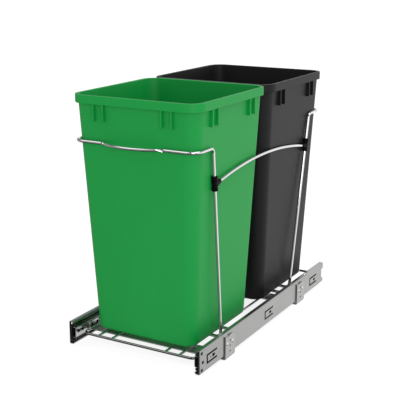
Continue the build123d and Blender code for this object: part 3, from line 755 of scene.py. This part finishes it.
cross_low, cross_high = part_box("base_cross_wires")
hoop_radius = (cross_high.z - cross_low.z) / 2
cross_z = cross_low.z + hoop_radius
cross_places = (cross_low.y + hoop_radius, cross_high.y - hoop_radius)
cross_end = cross_high.x + BASE_SPREAD
cross_wires = [
    cut_wire((-cross_end, y, cross_z), (cross_end, y, cross_z), hoop_radius, UP)
    for y in cross_places
]


def weld(place):
    """Spot weld squeezed out where two wires cross: an ellipsoid, R (cos t, sin t) turned about Z.

    R is WELD_REACH across and WELD_HEIGHT up and down, and t goes from pole to pole.
    """
    turn = np.linspace(WELD_POLE, pi - WELD_POLE, 11)
    return turned(-WELD_HEIGHT * np.cos(turn), WELD_REACH * np.sin(turn), place, UP, sides=20)


welds = [
    weld((x, y, base_z + base_radius))
    for x in (base_x, *long_places, -base_x)
    for y in cross_places
]
carriage_wire("base_cross_bars", cross_wires + welds, "base_cross_wires")

# ------------------------------------------------------------ hoops

front_low, front_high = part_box("front_hoop_wire")
rear_low, rear_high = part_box("rear_hoop_wire")
rail_x = front_high.x - hoop_radius
rail_z = front_high.z - hoop_radius
front_foot_y = front_high.y - hoop_radius
front_top_y = front_foot_y - FRONT_LEG_LEAN
front_rail_y = front_low.y + hoop_radius + BOW_DEPTH
rear_foot_y = rear_low.y + hoop_radius
rear_top_y = rear_foot_y + REAR_LEG_LEAN
rear_rail_y = rear_high.y - hoop_radius

# the bow's wide arc is tangent to the kink's arc at each side and square to Y in the middle
bow_turn = 2 * atan(BOW_DEPTH / BOW_HALF_WIDTH)
kink_x = BOW_HALF_WIDTH - BOW_KINK * tan(bow_turn / 2)
bow_radius = (BOW_HALF_WIDTH - BOW_KINK * sin(bow_turn)) / sin(bow_turn)
bow_peak_y = front_rail_y - kink_x * tan(bow_turn)

front_half = [
    ((HOOP_FOOT_X, front_foot_y, cross_z), HOOP_BEND),
    ((rail_x, front_top_y, rail_z), HOOP_BEND),
    ((rail_x, front_rail_y, rail_z), RAIL_CORNER),
    ((kink_x, front_rail_y, rail_z), BOW_KINK),
]
rear_half = [
    ((HOOP_FOOT_X, rear_foot_y, cross_z), HOOP_BEND),
    ((rail_x, rear_top_y, rail_z), HOOP_BEND),
    ((rail_x, rear_rail_y, rail_z), RAIL_CORNER),
]


def hoop(half, peak=()):
    """One bent wire: the right half's corners, a peak in the middle plane and the half mirrored."""
    mirrored = [((-x, y, z), radius) for (x, y, z), radius in reversed(half)]
    corners, radii = zip(*half, *peak, *mirrored)
    return wire(rounded_loop(corners, radii), hoop_radius, OFF_EVERY_RUN, looped=True)


bow_peak = [((0.0, bow_peak_y, rail_z), bow_radius)]
carriage_wire("front_hoop", [hoop(front_half, bow_peak)], "front_hoop_wire")
carriage_wire("rear_hoop", [hoop(rear_half)], "rear_hoop_wire")

# ------------------------------------------------------------ side arc wires and clips


def leg_point(foot_y, top_y):
    """Where the arc wire meets a hoop's leg, CLIP_DROP below the rail, and the leg's direction."""
    foot = np.array((HOOP_FOOT_X, foot_y, cross_z))
    leg = np.array((rail_x, top_y, rail_z)) - foot
    return foot + leg * (1 - CLIP_DROP / leg[2]), unit(leg)


front_clip, front_leg = leg_point(front_foot_y, front_top_y)
rear_clip, rear_leg = leg_point(rear_foot_y, rear_top_y)
arc_start = front_clip + (0, ARC_END_GAP, 0)
arc_end = rear_clip - (0, ARC_END_GAP, 0)
arc_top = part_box("side_arc_wire_right")[1].z - hoop_radius
arc_rise = arc_top - arc_start[2]
arc_half_chord = (arc_end[1] - arc_start[1]) / 2
arc_radius = (arc_half_chord**2 + arc_rise**2) / (2 * arc_rise)
arc_half_turn = asin(arc_half_chord / arc_radius)
arc_angle = np.linspace(-arc_half_turn, arc_half_turn, 41)
arc_middle = (arc_start + arc_end) / 2
arc_path = np.stack(
    [
        np.full(len(arc_angle), arc_middle[0]),
        arc_middle[1] + arc_radius * np.sin(arc_angle),
        arc_top - arc_radius * (1 - np.cos(arc_angle)),
    ],
    axis=1,
)
side_arc = wire(arc_path, hoop_radius, ACROSS)
carriage_wire("side_arc_right", [side_arc], "side_arc_wire_right")
carriage_wire("side_arc_left", [left_of(side_arc)], "side_arc_wire_left")


def clip_sleeve(place, leg):
    """Bored sleeve on the leg: rounded end edges, and a low collar round each end."""
    quarter = np.linspace(0, pi / 2, 5)
    half = CLIP_LENGTH / 2
    radius = CLIP_DIAMETER / 2
    bore = hoop_radius + BORE_GAP
    edge_s = half - CLIP_EDGE * (1 - np.sin(quarter[::-1]))
    edge_r = radius - CLIP_EDGE * (1 - np.cos(quarter[::-1]))
    waist_s = half - np.array(CLIP_COLLAR)
    waist_r = np.array([radius, radius - CLIP_RIB])
    top_s = np.concatenate([[half], edge_s, waist_s])
    top_r = np.concatenate([[bore], edge_r, waist_r])
    along = np.concatenate([top_s, -top_s[::-1]])
    return turned(along, np.concatenate([top_r, top_r[::-1]]), place, leg, looped=True, sides=64)


def clip_stub(end, way):
    """Bored stub on the arc wire: E + s W + a cos t X + b sin t U, its mouth's edge rounded.

    W is the wire's way, X runs across and U = W x X. At the leg the stub is STUB_ROOT tall, and it
    draws in along a straight line to a round mouth.
    """
    quarter = np.linspace(0, pi / 2, 5)
    bore = hoop_radius + BORE_GAP
    edge = STUB_LIP_SHARE * (STUB_MOUTH / 2 - bore)
    along = np.concatenate([[0, 0], STUB_LENGTH - edge * (1 - np.sin(quarter)), [STUB_LENGTH]])
    lip = np.concatenate([[0, 0], edge * (1 - np.cos(quarter)), [0]])
    share = along / STUB_LENGTH
    across = STUB_WIDTH / 2 + (STUB_MOUTH - STUB_WIDTH) / 2 * share - lip
    tall = STUB_ROOT / 2 + (STUB_MOUTH - STUB_ROOT) / 2 * share - lip
    for radius in (across, tall):
        radius[[0, -1]] = bore
    turn = np.linspace(0, tau, 64, endpoint=False)[None, :, None]
    side = unit(np.cross(np.cross(way, ACROSS), way))
    up = np.cross(way, side)
    across = across[:, None, None]
    tall = tall[:, None, None]
    ring = across * np.cos(turn) * side + tall * np.sin(turn) * up
    spine = end - way * ARC_END_GAP + along[:, None] * way
    return shell(spine[:, None] + ring, looped=True)


def flat_to_bin(surface, place, leg):
    """The clip's side next to the bin cut flat: p + max(0, -f - (p - c).N) N.

    c is the leg's place, f is CLIP_FLAT and N points away from the bin, square to the leg.
    """
    points, faces = surface
    away = unit(np.cross((0.0, 1.0, 0.0), leg))
    short = np.maximum(0, -CLIP_FLAT - (points - place) @ away)
    return points + short[:, None] * away, faces


start_way = unit(arc_path[1] - arc_path[0])
end_way = unit(arc_path[-2] - arc_path[-1])
for where, clip, leg, end, way in (
    ("front", front_clip, front_leg, arc_start, start_way),
    ("rear", rear_clip, rear_leg, arc_end, end_way),
):
    shapes = (clip_sleeve(clip + CLIP_RISE * leg, leg), clip_stub(end, way))
    right = [flat_to_bin(one, clip, leg) for one in shapes]
    for side, surfaces in (("right", right), ("left", [left_of(surface) for surface in right])):
        piece(f"clip_{where}_{side}", surfaces, "carriage", "clip_plastic", CLIP,
              f"wire_clip_{where}_{side}")

# ------------------------------------------------------------ rivets and screws


def rivet(place, way):
    """Domed head and shank: the dome is a sphere's cap, r = R sin t and s = h - R (1 - cos t)."""
    half = RIVET_HEAD / 2
    ball = (half**2 + RIVET_HEIGHT**2) / (2 * RIVET_HEIGHT)
    turn = np.linspace(RIVET_CROWN, 1, 10) * asin(half / ball)
    along = np.concatenate([RIVET_HEIGHT - ball * (1 - np.cos(turn)), [0, -RIVET_GRIP]])
    radius = np.concatenate([ball * np.sin(turn), [RIVET_SHANK / 2, RIVET_SHANK / 2]])
    return turned(along, radius, place, way)


def pan_screw(place, way):
    """Pan head with a cross recess, and its shank.

    On the head's top the height is h (1 - PAN_DROP (r/R)^4), less the recess's depth where a
    point lies within the width of one arm and the reach of the other. The recess's walls slope
    over RECESS_SIDE and RECESS_END.
    """
    way = unit(np.array(way, float))
    half = SCREW_HEAD / 2
    angle = np.linspace(0, tau, 48, endpoint=False)[None]
    # shares of the head's radius: close rows over the recess, wider ones out to the rim
    rows = np.concatenate([np.linspace(0.02, 0.62, 16), np.linspace(0.68, 1, 8)])
    radius = rows[:, None] * half
    x = radius * np.cos(angle)
    y = radius * np.sin(angle)
    narrow = np.minimum(np.abs(x), np.abs(y))
    wide = np.maximum(np.abs(x), np.abs(y))
    arm = np.clip((RECESS_WIDTH - narrow) / RECESS_SIDE + 0.5, 0, 1)
    reach = np.clip((RECESS_REACH - wide) / RECESS_END + 0.5, 0, 1)
    height = SCREW_HEIGHT * (1 - PAN_DROP * (radius / half) ** 4) - RECESS_DEPTH * arm * reach
    shank = [(half, 0.0), (SCREW_SHANK / 2, 0.0), (SCREW_SHANK / 2, -SCREW_GRIP)]
    rows_x = np.concatenate([x] + [r * np.cos(angle) for r, _ in shank])
    rows_y = np.concatenate([y] + [r * np.sin(angle) for r, _ in shank])
    rows_s = np.concatenate([height] + [np.full_like(angle, s) for _, s in shank])
    side = unit(np.cross(way, np.array(UP)))
    up = np.cross(way, side)
    across = rows_x[..., None] * side + rows_y[..., None] * up
    return shell(np.array(place) + across + rows_s[..., None] * way)


rivet_low, rivet_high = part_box("bracket_rivets")
rivet_face = rivet_high.x - RIVET_HEIGHT
rivet_z = (rivet_low.z + rivet_high.z) / 2
rivet_first = rivet_low.y + RIVET_HEAD / 2
rivet_last = rivet_high.y - RIVET_HEAD / 2
rivet_places = (rivet_first, rivet_first + RIVET_PITCH, rivet_last - RIVET_PITCH, rivet_last)
rivets = [rivet((rivet_face, y, rivet_z), ACROSS) for y in rivet_places]
piece("bracket_rivet_heads", rivets + [left_of(one) for one in rivets], "cabinet_rails",
      "fastener_steel", FASTENER, "bracket_rivets")

screw_low, screw_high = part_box("frame_screws")
screw_face = size("frame_screws")[0] / 2 - SCREW_GRIP
screw_z = (screw_low.z + screw_high.z) / 2
screw_places = (screw_low.y + SCREW_HEAD / 2, screw_high.y - SCREW_HEAD / 2)
screws = [pan_screw((screw_face, y, screw_z), (-1.0, 0.0, 0.0)) for y in screw_places]
piece("strap_screws", screws + [left_of(one) for one in screws], "carriage",
      "fastener_steel", FASTENER, "frame_screws")

# ------------------------------------------------------------ balls


def ball_rows(node):
    """Two rows of balls, each centre + R (sin t, cos t) turned about Y, t from pole to pole."""
    low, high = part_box(node)
    x = (low.x + high.x) / 2
    radius = (high.x - low.x) / 2
    turn = np.linspace(BALL_POLE, pi - BALL_POLE, 13)
    rows = (low.z + radius, high.z - radius)
    stations = np.linspace(low.y + radius, high.y - radius, BALLS_PER_ROW)
    return [
        turned(-radius * np.cos(turn), radius * np.sin(turn), (x, y, z), (0.0, 1.0, 0.0), sides=20)
        for z in rows
        for y in stations
    ]


for side in ("left", "right"):
    for layer in ("outer", "inner"):
        node = f"{layer}_balls_{side}"
        piece(f"{layer}_ball_rows_{side}", ball_rows(node), f"{layer}_cage_{side}",
              "ball_steel", BALL, node)

# ------------------------------------------------------------ guide noses


def guide_nose():
    """Block that the right front guide sends into the inner slide, clear of the strap's screws.

    Rounded rectangles stacked up, drawn in by a quarter circle of NOSE_EDGE at the top and bottom.
    """
    low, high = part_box("slide_inner_right")
    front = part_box("front_guide_right")[0].y
    quarter = np.linspace(0, pi / 2, 5)
    half_z = (high.z - low.z) / 2 - NOSE_GAP
    edge = NOSE_EDGE * (1 - np.sin(quarter))
    rise = half_z - NOSE_EDGE * (1 - np.cos(quarter))
    drawn_in = np.concatenate([edge, edge[::-1]])
    height = (low.z + high.z) / 2 + np.concatenate([-rise, rise[::-1]])
    inner_x = low.x + NOSE_SPACE
    outer_x = high.x + NOSE_ROOT
    centre = ((inner_x + outer_x) / 2, front + NOSE_LENGTH / 2)
    corner = NOSE_CORNER - drawn_in
    half_x = (outer_x - inner_x) / 2 - drawn_in
    half_y = NOSE_LENGTH / 2 - drawn_in
    return shell(rounded_stack(half_x, half_y, corner, height, centre, steps=5, ease=THIN_EASE))


nose = guide_nose()
for side, surface in (("right", nose), ("left", left_of(nose))):
    piece(f"guide_nose_{side}", [surface], f"middle_{side}", "guide_plastic", GUIDE)

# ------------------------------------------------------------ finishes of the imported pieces

# pieces that come in a left and a right one
PAIRED_FINISHES = {
    "slide_outer": SLIDE_ZINC,
    "slide_middle": SHADE_DARK_ZINC,
    "slide_inner": BRIGHT_ZINC,
    "bracket_front": ZINC,
    "bracket_rear": ZINC,
    "outer_ball_cage": CAGE,
    "inner_ball_cage": CAGE,
    "front_guide": GUIDE,
}
packed_finishes = {
    f"{stem}_{side}": finish for stem, finish in PAIRED_FINISHES.items() for side in ("left", "right")
}
packed_finishes |= {"cross_strap_front": STRAP_ZINC, "cross_strap_rear": STRAP_ZINC}
for node, finish in packed_finishes.items():
    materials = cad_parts[node].data.materials
    materials.clear()
    materials.append(finish)

# ------------------------------------------------------------ floor, light and camera

FLOOR_HALF = 30.0
FLOOR_DROP = 0.2 * MM
floor_mesh = bpy.data.meshes.new("floor")
floor_corners = [
    (x * FLOOR_HALF, y * FLOOR_HALF, -FLOOR_DROP) for x, y in ((-1, -1), (1, -1), (1, 1), (-1, 1))
]
floor_mesh.from_pydata(floor_corners, [], [(0, 1, 2, 3)])
floor_finish = Finish("pale_floor", Roughness=0.9, Specular_IOR_Level=0.0, Emission_Strength=0.85)
floor_finish.shader.inputs["Base Color"].default_value = (0.25, 0.25, 0.25, 1)
floor_finish.shader.inputs["Emission Color"].default_value = (1, 1, 1, 1)
floor_mesh.materials.append(floor_finish.material)
floor = bpy.data.objects.new("floor", floor_mesh)
bpy.context.scene.collection.objects.link(floor)
floor.visible_glossy = False

# where each wall lies, how bright it is beside the side wall's 1, and where its edge runs
SIDE_WALL = (0.62, 0.78, -0.1)
SIDE_EDGE = (0.0, 0.55)
FRONT_WALL = 0.32
OVERHEAD = 0.3
OVERHEAD_EDGE = (0.25, 0.6)
FRONT_PANEL = (-0.45, -0.45, 0.77)
PANEL_EDGE = (0.86, 0.95)
PANEL = 1.2
BELOW = 0.06
BELOW_EDGE = (0.43, 0.67)
SOFT = 0.84

world = bpy.data.worlds.new("studio")
bpy.context.scene.world = world


def studio_walls():
    """White room for soft light, whose walls are seen in gloss as a photographer hangs them.

    Along the unit direction D of a reflection, the side wall's share rises with D.S, S pointing to
    the right and back. Overhead and below it is dim, but for one panel high up in front on the
    left. Light that falls on dull surfaces is SOFT everywhere.
    """
    nodes = Nodes(world)
    way = nodes.node("ShaderNodeTexCoord", {}, {}, "Generated")

    def facing(direction):
        dot = {0: way, 1: unit(np.array(direction, float)).tolist()}
        return nodes.node("ShaderNodeVectorMath", {"operation": "DOT_PRODUCT"}, dot, "Value")

    side = nodes.mask(facing(SIDE_WALL), *SIDE_EDGE)
    overhead = nodes.mask(facing(UP), *OVERHEAD_EDGE)
    panel = nodes.mask(facing(FRONT_PANEL), *PANEL_EDGE)
    walls = FRONT_WALL + side * (1 - FRONT_WALL)
    below = nodes.mask(facing((0, 0, -1)), *BELOW_EDGE)
    seen = walls * (1 - overhead * (1 - OVERHEAD)) * (1 - below * (1 - BELOW)) + panel * PANEL
    glossy = nodes.node("ShaderNodeLightPath", {}, {}, "Is Glossy Ray")
    soft = nodes.node("ShaderNodeLightPath", {}, {}, "Is Diffuse Ray")
    strength = 1 + glossy * (seen - 1) + soft * (SOFT - 1)
    nodes.feed(nodes.tree.nodes["Background"].inputs["Strength"], strength)
    nodes.feed(nodes.tree.nodes["Background"].inputs["Color"], (1, 1, 1, 1))


studio_walls()


def softbox(name, place, target, width, power):
    """Square soft light at a place, facing a target."""
    light = bpy.data.lights.new(name, "AREA")
    light.size = width
    light.energy = power
    made = bpy.data.objects.new(name, light)
    made.location = place
    made.rotation_euler = (Vector(target) - Vector(place)).to_track_quat("-Z", "Y").to_euler()
    bpy.context.scene.collection.objects.link(made)


MIDDLE = (0.0, 0.0, 0.24)
softbox("overhead_light", (0.6, 0.2, 2.4), MIDDLE, 1.6, 22.0)
softbox("corner_light", (1.7, -2.0, 0.9), MIDDLE, 1.2, 16.0)

CAMERA_PLACE = Vector((0.8756, -1.56536, 0.7171))
CAMERA_TARGET = Vector((-0.01718, 0.00314, 0.24004))
CAMERA_LENS = 83.13  # millimetres, as the sensor's width is
CAMERA_SENSOR = 36.0
camera_data = bpy.data.cameras.new("camera")
camera_data.lens = CAMERA_LENS
camera_data.sensor_width = CAMERA_SENSOR
camera = bpy.data.objects.new("camera", camera_data)
camera.location = CAMERA_PLACE
camera.rotation_euler = (CAMERA_TARGET - CAMERA_PLACE).to_track_quat("-Z", "Y").to_euler()
bpy.context.scene.collection.objects.link(camera)
bpy.context.scene.camera = camera
bpy.context.scene.view_settings.view_transform = "Standard"

# ------------------------------------------------------------ last update of the scene

bpy.context.view_layer.update()
